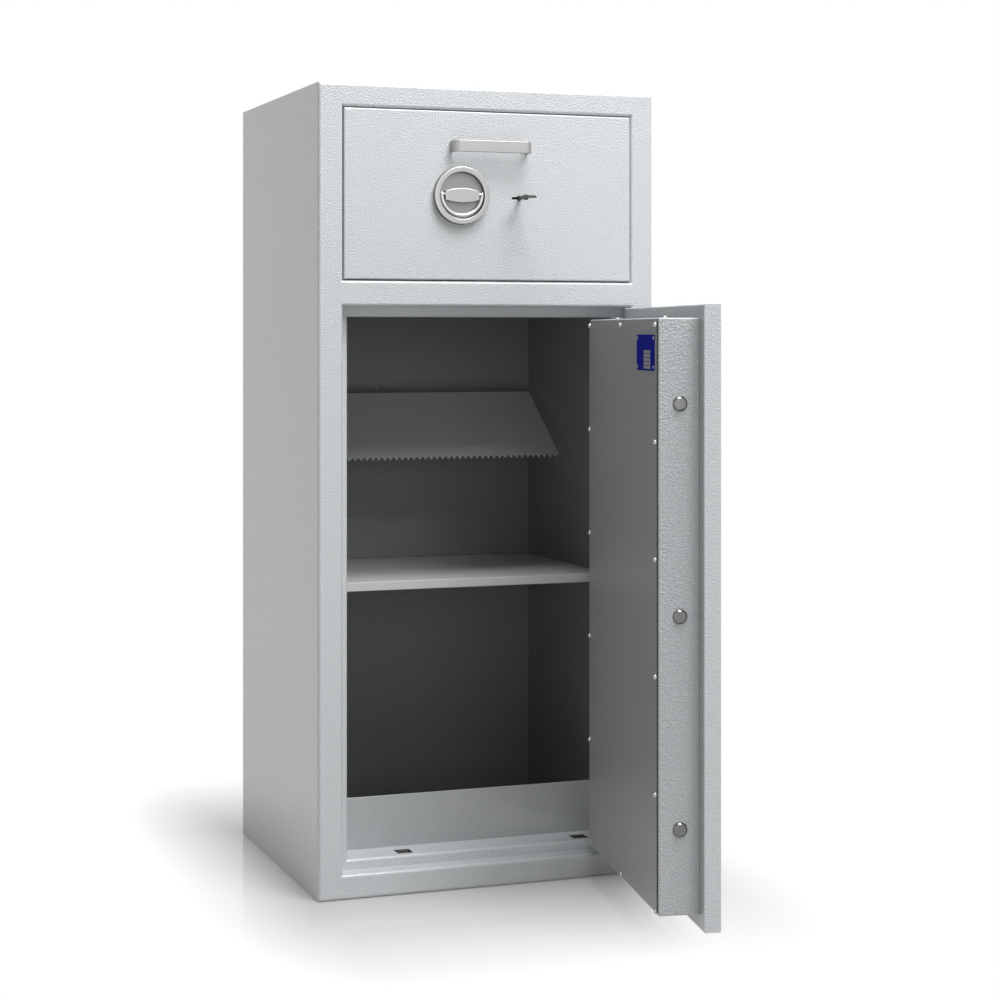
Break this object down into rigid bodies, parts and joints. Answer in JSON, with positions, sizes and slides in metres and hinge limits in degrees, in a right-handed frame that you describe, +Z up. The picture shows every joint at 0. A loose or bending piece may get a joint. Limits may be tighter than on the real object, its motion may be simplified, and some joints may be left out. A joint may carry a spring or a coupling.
{
  "type": "drop safe with deposit drawer",
  "caption": "Free-standing drop safe: a lockable deposit drawer above a bolted door, with an anti-fishing chute and a shelf inside.",
  "frame": {"origin": "middle of the cabinet's underside", "axes": "+X to the right seen from the front, +Y to the back, +Z up; the door and the drawer are on the -Y side"},
  "size_m": [0.555, 0.9876, 1.25],
  "materials": {
    "paint": "matte",
    "inner_paint": "matte",
    "cover_paint": "satin",
    "barrier": "matte",
    "bolt_steel": "satin",
    "zinc_steel": "satin",
    "handle_nickel": "satin",
    "key_brass": "satin"
  },
  "bodies": {
    "cabinet": {"front_frame": "paint", "bolt_strike_left": "paint", "rebate_bar_right": "paint", "bolt_strike_bottom": "paint", "bolt_strike_top": "paint", "outer_casing": "paint", "back_panel": "paint", "barrier_fill": "barrier", "liner_left": "inner_paint", "liner_right": "inner_paint", "liner_back": "inner_paint", "liner_floor": "inner_paint", "liner_roof": "inner_paint", "sill_panel": "paint", "drawer_deck": "inner_paint", "deck_fill": "barrier", "chute_plate": "inner_paint", "shelf": "paint", "shelf_peg_left_front": "zinc_steel", "shelf_peg_left_back": "zinc_steel", "shelf_peg_right_front": "zinc_steel", "shelf_peg_right_back": "zinc_steel", "cabinet_runner_left": "zinc_steel", "cabinet_runner_right": "zinc_steel", "frame_hinge_lower": "paint", "frame_hinge_upper": "paint"},
    "door": {"door_slab": "paint", "door_bolt_box": "paint", "door_cover": "cover_paint", "door_hinge_lower": "paint", "door_hinge_upper": "paint", "door_handle_rose": "handle_nickel", "door_lock_case": "zinc_steel"},
    "door_handle": {"door_handle_hub": "handle_nickel"},
    "door_bail": {"door_handle_bail": "handle_nickel"},
    "side_bolts": {"side_bolt_bar": "zinc_steel", "side_bolt_lower": "bolt_steel", "side_bolt_middle": "bolt_steel", "side_bolt_upper": "bolt_steel"},
    "top_bolts": {"top_bolt_bar": "zinc_steel", "top_bolt_near": "bolt_steel", "top_bolt_far": "bolt_steel"},
    "bottom_bolts": {"bottom_bolt_bar": "zinc_steel", "bottom_bolt_near": "bolt_steel", "bottom_bolt_far": "bolt_steel"},
    "door_lock": {"door_lock_bolt": "zinc_steel"},
    "drawer": {"drawer_front": "paint", "drawer_tray": "zinc_steel", "drawer_pull": "handle_nickel", "drawer_handle_rose": "handle_nickel", "drawer_lock_case": "zinc_steel"},
    "middle_runners": {"middle_runner_left": "zinc_steel", "middle_runner_right": "zinc_steel"},
    "drawer_handle": {"drawer_handle_hub": "handle_nickel"},
    "drawer_bail": {"drawer_handle_bail": "handle_nickel"},
    "drawer_bolt_left": {"drawer_bolt_left": "bolt_steel"},
    "drawer_bolt_right": {"drawer_bolt_right": "bolt_steel"},
    "key": {"drawer_key": "key_brass"},
    "drawer_lock": {"drawer_lock_bolt": "zinc_steel"}
  },
  "joints": [
    {"name": "door_hinge", "type": "hinge", "parent": "cabinet", "child": "door", "pos_m": [0.2565, -0.256, 0], "axis": [0, 0, 1], "range_deg": [-80, 40]},
    {"name": "door_handle_turn", "type": "hinge", "parent": "door", "child": "door_handle", "pos_m": [0.19517, -0.55489, 0.57704], "axis": [0.9848, -0.1736, 0], "range_deg": [0, 90]},
    {"name": "door_bail_fold", "type": "hinge", "parent": "door_handle", "child": "door_bail", "pos_m": [0.20108, -0.55593, 0.57904], "axis": [-0.1736, -0.9848, 0], "range_deg": [0, 90]},
    {"name": "side_bolts_slide", "type": "slide", "parent": "door", "child": "side_bolts", "axis": [-0.1736, -0.9848, 0], "range_m": [0, 0.0165]},
    {"name": "top_bolts_slide", "type": "slide", "parent": "door", "child": "top_bolts", "axis": [0, 0, 1], "range_m": [0, 0.0165]},
    {"name": "bottom_bolts_slide", "type": "slide", "parent": "door", "child": "bottom_bolts", "axis": [0, 0, -1], "range_m": [0, 0.0165]},
    {"name": "door_lock_throw", "type": "slide", "parent": "door", "child": "door_lock", "axis": [-0.1736, -0.9848, 0], "range_m": [0, 0.01]},
    {"name": "drawer_slide", "type": "slide", "parent": "cabinet", "child": "drawer", "axis": [0, -1, 0], "range_m": [0, 0.29]},
    {"name": "middle_runners_slide", "type": "slide", "parent": "cabinet", "child": "middle_runners", "axis": [0, -1, 0], "range_m": [0, 0.145]},
    {"name": "drawer_handle_turn", "type": "hinge", "parent": "drawer", "child": "drawer_handle", "pos_m": [-0.0485, -0.2475, 1.081], "axis": [0, -1, 0], "range_deg": [0, 90]},
    {"name": "drawer_bail_fold", "type": "hinge", "parent": "drawer_handle", "child": "drawer_bail", "pos_m": [-0.0485, -0.2535, 1.083], "axis": [-1, 0, 0], "range_deg": [0, 90]},
    {"name": "drawer_bolt_left_slide", "type": "slide", "parent": "drawer", "child": "drawer_bolt_left", "axis": [-1, 0, 0], "range_m": [0, 0.016]},
    {"name": "drawer_bolt_right_slide", "type": "slide", "parent": "drawer", "child": "drawer_bolt_right", "axis": [1, 0, 0], "range_m": [0, 0.016]},
    {"name": "key_turn", "type": "hinge", "parent": "drawer", "child": "key", "pos_m": [0.049, -0.2475, 1.079], "axis": [0, -1, 0], "range_deg": [0, 180]},
    {"name": "drawer_lock_throw", "type": "slide", "parent": "drawer", "child": "drawer_lock", "axis": [-1, 0, 0], "range_m": [0, 0.01]}
  ],
  "couplings": [
    {"joint": "door_handle_turn", "follows": "side_bolts_slide", "rad_per_m": 95.2},
    {"joint": "top_bolts_slide", "follows": "side_bolts_slide", "ratio": 1},
    {"joint": "bottom_bolts_slide", "follows": "side_bolts_slide", "ratio": 1},
    {"joint": "middle_runners_slide", "follows": "drawer_slide", "ratio": 0.5},
    {"joint": "drawer_handle_turn", "follows": "drawer_bolt_left_slide", "rad_per_m": 98.175},
    {"joint": "drawer_bolt_right_slide", "follows": "drawer_bolt_left_slide", "ratio": 1},
    {"joint": "key_turn", "follows": "drawer_lock_throw", "rad_per_m": 314.16}
  ]
}
